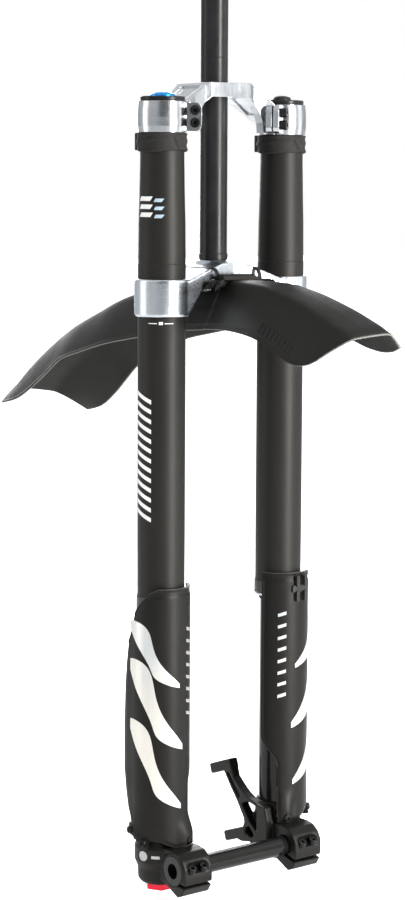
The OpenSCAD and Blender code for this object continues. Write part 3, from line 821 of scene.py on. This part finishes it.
def guard_panel(below_top):
    """Height of the raised main panel, below a border round the guard's top edge."""
    return 0.7 * ease(-below_top, 7.0, 8.2)


def guard_relief(c, z):
    gap = lookup(c, GUARD_TOP) - z
    rim = 0.6 * (1 - ease(gap, 1.0, 2.0))
    rear = 1 - ease(c, 0.955, 0.975)
    front = ease(c, 0.02, 0.035)
    foot = ease(z - lookup(c, GUARD_BOTTOM), 2.0, 3.2)
    return rim + guard_panel(-gap) * rear * front * foot


def make_leg_guard(side):
    columns = np.concatenate([np.linspace(0, 0.05, 7), np.linspace(0.06, 0.94, 84),
                              np.linspace(0.95, 1, 7)])
    heights = np.concatenate([np.linspace(0, 0.04, 14), np.linspace(0.05, 0.97, 100),
                              np.linspace(0.975, 1, 6)])
    outer, inner = [], []
    for s in heights:
        rows = ([], [])
        for c in columns:
            top, bottom = lookup(c, GUARD_TOP), lookup(c, GUARD_BOTTOM)
            z = top + s * (bottom - top)
            rows[0].append(guard_point(side, c, z, -guard_relief(c, z)))
            rows[1].append(guard_point(side, c, z, GUARD_WALL))
        outer.append(rows[0])
        inner.append(rows[1])
    guard = piece("guard_shell_" + side, *sheet_solid(outer, inner), "lowers", "guard_plastic",
                  LOOKS["guard_plastic"], sharp=40, stands_for=["leg_guard_" + side])
    return bevel(guard, 0.6, 2, 60)


def blade(centre_z, tall, wide, thick):
    """A leaf-shaped stroke that sweeps down towards the front, as a grid of (s, z)."""
    grid = []
    for t in np.linspace(0, 1, 41):
        s = 57 - wide * (t + 0.11 * math.sin(2 * math.pi * t))
        z = centre_z + tall * (0.5 - t)
        half = thick * math.sin(math.pi * (0.035 + 0.93 * t)) ** 0.75
        half *= 1.0 + 0.35 * math.cos(math.pi * t)
        grid.append([(s, z + half * v) for v in np.linspace(1, -1, 9)])
    return grid


def make_guard_graphics(side):
    silver = printed("guard_silver", (0.66, 0.63, 0.57), 0.30, 0.85, (0.55, 0.57, 0.58))
    skin = guard_skin(side)
    blades = [blade(-402, 62, 58, 16), blade(-455, 84, 62, 23), blade(-517, 84, 60, 21)]
    film("guard_blades_" + side, blades, skin, "lowers", "guard_plastic", silver)
    bars = []
    for i in range(8):
        z = -376 - i * 12.5
        bars.append(patch([(-20.5, z), (-11.5, z + 2.6), (-11.5, z - 0.8), (-20.5, z - 3.4)], 4, 2))
    film("guard_dashes_" + side, bars, skin, "lowers", "guard_plastic", silver)


# ---- rubber bumpers under the upper crown ----

BUMPER_FRONT = -38.0  # azimuth of the side where the band overlaps itself
BUMPER_LOW, BUMPER_HIGH = 108.5, 127.6


def bumper_radius(azimuth, z):
    """Outer radius of the band: a ring with overlapping folds and a square pad at the back."""
    q = (azimuth - BUMPER_FRONT + 180) % 360 - 180
    r = 24.6 + 0.2 * math.sin(math.radians(q * 3 + 40))
    fold = 115.5 + 6.5 * ease(q, -95, 25)
    r += 1.3 * ease(z, fold - 0.5, fold + 0.3) * (1 - ease(q, 15, 40))
    second = 120.5 + 5.0 * ease(q, -60, 60)
    r -= 0.9 * ease(z, second - 0.4, second + 0.4) * (1 - ease(q, 50, 60))
    ribs = max(0.0, math.sin(math.radians((q + (z - 116) * 1.2) * 20))) ** 2
    ribbed = ease(q, 28, 33) * (1 - ease(q, 62, 68)) * ease(z, 110.5, 112.5) * (1 - ease(z, 122, 124))
    r += 1.5 * ribs * ribbed
    r += 1.1 * ease(q, 68, 76) * (1 - ease(q, 108, 118)) * (0.6 + 0.4 * math.sin(z * 0.75))
    r += 0.35 * (1 - ease(z, 110.6, 111.6))
    back = math.radians(azimuth - 180)
    facing = math.cos(back)
    if facing > 0.2:
        pad = min(30.5 / facing, 13 / max(abs(math.sin(back)), 0.01))
        r = max(r, pad)
    return r


def make_bumper(side):
    inside = TUBE_TOP_R + 0.12
    count = 180
    rings = []
    for k in range(25):
        v = k / 24
        ring = []
        for j in range(count):
            azimuth = j * 360 / count
            low = BUMPER_LOW + 1.1 * math.sin(math.radians(azimuth * 2 + 60)) + 0.6
            z = low + (BUMPER_HIGH - low) * v
            r = bumper_radius(azimuth, z) - 0.8 * (1 - ease(min(v, 1 - v), 0, 0.05))
            a = math.radians(azimuth)
            ring.append(bumper_place(side, r * math.sin(a), -r * math.cos(a), z))
        rings.append(ring)
    for z in (BUMPER_HIGH - 0.6, (BUMPER_LOW + BUMPER_HIGH) / 2, BUMPER_LOW + 1.8):
        ring = []
        for j in range(count):
            a = math.radians(j * 360 / count)
            ring.append(bumper_place(side, inside * math.sin(a), -inside * math.cos(a), z))
        rings.append(ring)
    piece("bumper_band_" + side, *ring_solid(rings), "chassis", "bumper_rubber",
          LOOKS["bumper_rubber"], sharp=50, stands_for=["frame_bumper_" + side])


def bumper_place(side, x, y, z):
    """The two bumpers are the same part, so x isn't mirrored between the legs."""
    axis_x, axis_y = LEG_AXES[side]
    return (axis_x + x, axis_y + y, z)


# ---- forgings: the CAD solid with its edges flowed together ----

SLIT_CENTRE = Vector((0, AXLE.y, AXLE.z - 9))
SLIT_NORMAL = Matrix.Rotation(math.radians(13), 3, "X") @ Vector((0, 0, 1))
SLIT_HALF = 0.8  # half the width of the slit in the CAD
SLIT_SPREAD = 0.8  # how far each of its walls moves outwards
SLIT_REACH = 0.03  # how near a point has to be to a wall to be part of it


def open_slit(mesh):
    """Moves the walls of the pinch slit apart, so that the slit outlasts the relaxing."""
    for vertex in mesh.vertices:
        away = vertex.co / MM - SLIT_CENTRE
        height = away.dot(SLIT_NORMAL)
        if away.y < 0 and abs(abs(height) - SLIT_HALF) < SLIT_REACH:
            vertex.co += SLIT_NORMAL * math.copysign(SLIT_SPREAD * MM, height)


def make_forging(name, node, body, look, voxel, passes):
    """A copy of a CAD solid, remeshed and relaxed so that its edges have cast radii."""
    ob = bpy.data.objects.new(name, NODES[node].data.copy())
    if node.startswith("dropout"):
        open_slit(ob.data)
    bpy.context.scene.collection.objects.link(ob)
    remesh = ob.modifiers.new("remesh", "REMESH")
    remesh.mode = "VOXEL"
    remesh.voxel_size = voxel * MM
    relax = ob.modifiers.new("relax", "SMOOTH")
    relax.factor = 0.5
    relax.iterations = passes
    bpy.context.view_layer.update()
    shaped = ob.evaluated_get(bpy.context.evaluated_depsgraph_get())
    mesh = bpy.data.meshes.new_from_object(shaped)
    ob.modifiers.clear()
    ob.data = mesh
    mesh.materials.clear()
    mesh.materials.append(look)
    mesh.shade_smooth()
    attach(ob, body)
    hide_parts(node)
    return ob


LUG_BOLTS = ((66, -596), (98, -586))  # angle round the leg and height
EAR_BOLT = (-12.0, -33.2, -596.3)  # beside the leg's axis: outwards, back and up
EAR_TURN = math.radians(-14)  # turn of the bolt on the ear, away from the front


def button_head(hub, out, boss=0.0):
    """A button-head bolt with a round socket, on a raised boss if one is asked for."""
    up = Vector((0, 0, 1))
    across = out.cross(up).normalized()
    outline = [(3.9, 0), (3.9, 2.0), (3.3, 3.1), (1.9, 3.5), (1.7, 2.2)]
    if boss:
        outline = [(4.9, -boss), (4.9, -0.5), (4.5, 0)] + outline
    rings = [[tuple(hub + out * lift + r * (math.cos(t) * across + math.sin(t) * up))
              for t in np.linspace(0, 2 * math.pi, 24, endpoint=False)] for r, lift in outline]
    return capped(rings)


def make_guard_lug(side):
    """Ribbed lug with two bolts at the guard's outer foot, and the bolt on its inner ear."""
    def at(angle, r, z):
        a = math.radians(angle)
        return place(side, r * math.sin(a), -r * math.cos(a), z)

    parts = []
    rows = []
    for angle in np.linspace(58, 106, 17):
        low = -603 + 12 * ease(angle, 58, 96)
        top = -591 + 12 * ease(angle, 60, 88)
        rows.append([at(angle, 29.5, low), at(angle, 35.0, low + 0.4), at(angle, 35.6, low + 1.6),
                     at(angle, 35.4, low + 3.2), at(angle, 33.9, top), at(angle, 30.5, top)])
    parts.append(capped(rows))
    for angle, z in LUG_BOLTS:
        a = math.radians(angle)
        hub = Vector(at(angle, 34.2, z))
        out = Vector((SIDES[side] * math.sin(a), -math.cos(a), 0))
        parts.append(button_head(hub, out))
    for k in range(4):
        first = 73 + k * 4.5
        ridge = [[at(first + lean + d, 33.4 + h, z + k * 1.6)
                  for d, h in ((-0.9, 0), (-0.5, 1.9), (0.5, 1.9), (0.9, 0))]
                 for z, lean in ((-597, 0), (-588, 6))]
        parts.append(capped(ridge))
    parts.append(button_head(Vector(place(side, *EAR_BOLT)),
                             Vector((SIDES[side] * math.sin(EAR_TURN), -math.cos(EAR_TURN), 0)),
                             boss=2.6))
    piece("guard_lug_" + side, *join(parts), "lowers", "guard_plastic", LOOKS["guard_plastic"],
          sharp=40, stands_for=["guard_screws"])


def make_guard_edge(side):
    """Rolled edge round a leg guard, coloured a little lighter than its face."""
    # the bead is given an even lighter colour than the guard's face all the way round
    look = moulded("guard_edge", (0.06, 0.058, 0.052), 0.38, 0.0006, 0.00001, 0.1)
    half = GUARD_WALL / 2
    loop = [guard_point(side, c, lookup(c, GUARD_TOP) - 0.2, half) for c in np.linspace(0, 1, 70)]
    rear = np.linspace(lookup(1, GUARD_TOP), lookup(1, GUARD_BOTTOM), 60)[1:-1]
    loop += [guard_point(side, 1, z, half) for z in rear]
    loop += [guard_point(side, c, lookup(c, GUARD_BOTTOM) + 0.2, half) for c in np.linspace(1, 0, 70)]
    inner = np.linspace(lookup(0, GUARD_BOTTOM), lookup(0, GUARD_TOP), 90)[1:-1]
    loop += [guard_point(side, 0, z, half) for z in inner]
    piece("guard_bead_" + side, *bead(loop + loop[:1], 0.75), "lowers", "guard_plastic", look)


def make_collar_lip(side):
    """Bright lip at the bottom of the seal collar."""
    low, high = node_box("seal_collar_" + side)
    axis_x, axis_y = LEG_AXES[side]
    outer = (high.x - low.x) / 2 + 0.35
    rings = []
    for r, z in ((outer - 2.2, -0.3), (outer - 0.3, -0.3), (outer, 0.2), (outer, 1.5),
                 (outer - 0.4, 2.0), (outer - 2.2, 2.0)):
        rings.append([(axis_x + r * math.sin(a), axis_y - r * math.cos(a), low.z + z)
                      for a in np.linspace(0, 2 * math.pi, 96, endpoint=False)])
    piece("collar_lip_" + side, *ring_solid(rings), "chassis", "polished_alloy",
          LOOKS["polished_alloy"])


# ---- straps that hold the mudguard ----

TIE_X = 27.0


def rounded_loop(corners, radius, steps=5):
    """A closed outline with its corners turned to arcs."""
    points = []
    count = len(corners)
    for i in range(count):
        before, here, after = (np.array(corners[(i + k) % count], float) for k in (-1, 0, 1))
        reach = min(radius, np.linalg.norm(before - here) * 0.45, np.linalg.norm(after - here) * 0.45)
        a = here + (before - here) / np.linalg.norm(before - here) * reach
        b = here + (after - here) / np.linalg.norm(after - here) * reach
        for t in np.linspace(0, 1, steps):
            points.append((1 - t) ** 2 * a + 2 * t * (1 - t) * here + t * t * b)
    return points


def resample(points, spacing):
    """Points every spacing or so along a closed outline."""
    loop = np.array(points + points[:1])
    lengths = np.concatenate([[0], np.cumsum(np.linalg.norm(np.diff(loop, axis=0), axis=1))])
    count = int(lengths[-1] / spacing)
    at = np.linspace(0, lengths[-1], count, endpoint=False)
    return np.stack([np.interp(at, lengths, loop[:, k]) for k in (0, 1)], axis=1)


def strap(x, path, width, thick, tooth):
    """A toothed strap that follows a closed path in the YZ plane."""
    line = resample(path, 0.6)
    rings = []
    for i, here in enumerate(line):
        along = line[(i + 1) % len(line)] - line[i - 1]
        out = np.array([along[1], -along[0]]) / np.linalg.norm(along)
        if np.dot(out, here - line.mean(axis=0)) < 0:
            out = -out
        ridge = tooth if i % 2 else 0.0
        ring = []
        for across, lift in ((-1, 0), (-1, 0.7), (-0.8, 1), (-0.55, 1), (0.55, 1), (0.8, 1), (1, 0.7),
                             (1, 0), (0.6, -0.12), (-0.6, -0.12)):
            dent = ridge if abs(across) < 0.6 and lift == 1 else 0.0
            y, z = here + out * (thick * (lift - 0.5) - dent)
            ring.append((x + across * width / 2, y, z))
        rings.append(ring)
    return ring_solid(rings)


def rounded_block(low, high, radius=0.8):
    """A small block with its edges cut back, as points and faces."""
    (x0, y0, z0), (x1, y1, z1) = low, high
    rings = []
    for z, cut in ((z0, radius), (z0 + radius, 0), (z1 - radius, 0), (z1, radius)):
        ring = []
        for sx, sy in ((-1, -1), (1, -1), (1, 1), (-1, 1)):
            for turn in (0, 1):
                flip = turn if sx * sy > 0 else 1 - turn
                x = (x0 if sx < 0 else x1) - sx * (cut + radius * flip)
                y = (y0 if sy < 0 else y1) - sy * (cut + radius * (1 - flip))
                ring.append((x, y, z))
        rings.append(ring)
    return capped(rings)


def make_ties():
    top, low = -8.8, -24.0
    path = rounded_loop([(-44.2, low + 3), (-42.5, low), (21.0, low), (25.2, low + 3), (26.9, top - 4),
                         (25.4, top), (-38.5, top), (-44.2, top - 6)], 3.0)
    path = [tuple(p) for p in path]
    parts = []
    for sign in SIDES.values():
        x = sign * TIE_X
        parts.append(strap(x, path, 4.6, 1.2, 0.22))
    piece("toothed_ties", *join(parts), "chassis", "tie_plastic", LOOKS["tie_plastic"],
          stands_for=["zip_ties"])


def turned(part, turn, centre):
    """A list of points and faces, turned by a matrix and moved."""
    points, faces = part
    return [tuple(turn @ Vector(p) + Vector(centre)) for p in points], faces


def make_buckles():
    """Tie heads that lie on the mudguard's shoulder, each with its cut-off tail."""
    parts = []
    for sign in SIDES.values():
        turn = Matrix.Rotation(sign * 0.62, 3, "Y") @ Matrix.Rotation(-0.55, 3, "X")
        centre = (sign * 30.5, -52.0, -25.0)
        parts.append(turned(rounded_block((-4.2, -5.0, -2.6), (4.2, 5.0, 2.6), 0.8), turn, centre))
        parts.append(turned(rounded_block((-2.3, -9.5, -0.8), (2.3, -4.5, 0.6), 0.3), turn, centre))
        parts.append(turned(rounded_block((-2.3, 4.0, -0.8), (2.3, 12.5, 0.6), 0.3), turn, centre))
    piece("tie_heads", *join(parts), "chassis", "tie_plastic", LOOKS["tie_plastic"])


def make_bracket():
    """The saddle between the crown and the mudguard, with a step at the air spring side."""
    parts = [rounded_block((-28, -54, -21.5), (15, -42.3, -14.6), 1.4),
             rounded_block((13, -53, -21.5), (21, -42.3, -17.2), 1.0),
             rounded_block((-39, -50, -28), (39, -42.4, -20.2), 1.2)]
    saddle = piece("bracket_saddle", *join(parts), "chassis", "mudguard_plastic",
                   LOOKS["mudguard_plastic"], stands_for=["mudguard_bracket"])
    return saddle


# ---- printed marks on the tubes and the dropout ----

TUBE_PROFILE = [(-360, 24.45), (-4, 24.45), (-3.4, 24.1), (5, 24.1), (37, 23.8), (62, 23.1),
                (88, 22.65), (101, 22.4), (160, 22.4)]
TUBE_TOP_R = 22.4


def tube_skin(side):
    def skin(s, z, lift):
        r = lookup(z, TUBE_PROFILE)
        a = s / r
        return place(side, (r + lift) * math.sin(a), -(r + lift) * math.cos(a), z)
    return skin


def make_tube_marks():
    white = printed("white_print", (0.80, 0.80, 0.78), 0.4)
    steel = printed("steel_print", (0.30, 0.38, 0.44), 0.4)
    skin = tube_skin("damper")
    stripes = []
    for i in range(13):
        z = -136 - i * 10.0
        stripes.append(patch([(26, z - 4.5), (47, z + 4.5), (47, z + 0.2), (26, z - 8.8)], 10, 2))
    film("tube_stripes", stripes, skin, "chassis", "tube_coat", white)
    frame_bars = [patch([(24, 64 - k * 8), (40, 64 - k * 8), (43, 59.5 - k * 8), (27, 59.5 - k * 8)], 8, 2)
                  for k in range(3)]
    film("tube_badge", frame_bars, skin, "chassis", "tube_coat", white)
    wing = [patch([(12, 62 - k * 8), (21, 62 - k * 8), (23, 58.5 - k * 8), (15, 58.5 - k * 8)], 5, 2)
            for k in range(3)]
    film("tube_badge_wing", wing, skin, "chassis", "tube_coat", steel)
    line = [patch([(3, -62.6), (12.0, -62.6), (12.0, -63.3), (3, -63.3)], 6, 1),
            patch([(20, -62.6), (29, -62.6), (29, -63.3), (20, -63.3)], 6, 1),
            patch([(14, -61.4), (18, -61.4), (18, -64.2), (14, -64.2)], 4, 2)]
    film("sag_line", line, skin, "chassis", "tube_coat", white)


def make_dropout_mark():
    """A round dot and a short bar on the outside of the damper's dropout."""
    look = printed("grey_print", (0.42, 0.42, 0.41), 0.45)

    def skin(s, z, lift):
        r = lookup(z, [(-628, 23.5), (-620, 26.8), (-606, 26.8), (-600, 23.5)]) + lift
        a = s / 26.8
        return place("damper", r * math.sin(a), -r * math.cos(a), z)

    dot = []
    for t in np.linspace(-1, 1, 17):
        half = 5.2 * math.sqrt(max(0.0, 1 - t * t)) + 0.15
        dot.append([(36 + half * v, -613 + 5.2 * t) for v in np.linspace(-1, 1, 9)])
    bar = patch([(17, -611.5), (26, -611.5), (26, -614.5), (17, -614.5)], 6, 2)
    film("dropout_dot", [dot, bar], skin, "lowers", "forged_black", look)


# ---- the scene ----

make_camera()
make_world(0.46, 0.86, 0.24, -24, 42)
make_softbox("strip", 15, 1.8, 0.05, (0.32, 2.0), 100)
make_softbox("key", 60, 1.9, 0.15, (0.8, 1.9), 6)
make_softbox("fill", -118, 1.7, 0.10, (0.7, 1.9), 9)
make_softbox("top", -20, 0.9, 1.7, (1.6, 1.0), 5)
make_softbox("back", 152, 1.8, 0.40, (1.2, 1.0), 26)
make_floor()
bpy.context.scene.view_settings.view_transform = "Standard"
paint_frame()

make_mudguard()
make_mudguard_edge()
make_mudguard_marks()
for side_name in SIDES:
    make_leg_guard(side_name)
    make_guard_graphics(side_name)
    make_bumper(side_name)
make_ties()
make_buckles()
make_bracket()
make_tube_marks()
make_dropout_mark()
make_forging("lower_crown_forging", "lower_crown", "chassis", forged_alloy(), 1.0, 10)
for side_name in SIDES:
    make_forging("dropout_forging_" + side_name, "dropout_" + side_name, "lowers",
                 LOOKS["forged_black"], 0.8, 9)
    make_guard_edge(side_name)
    make_guard_lug(side_name)
    make_collar_lip(side_name)
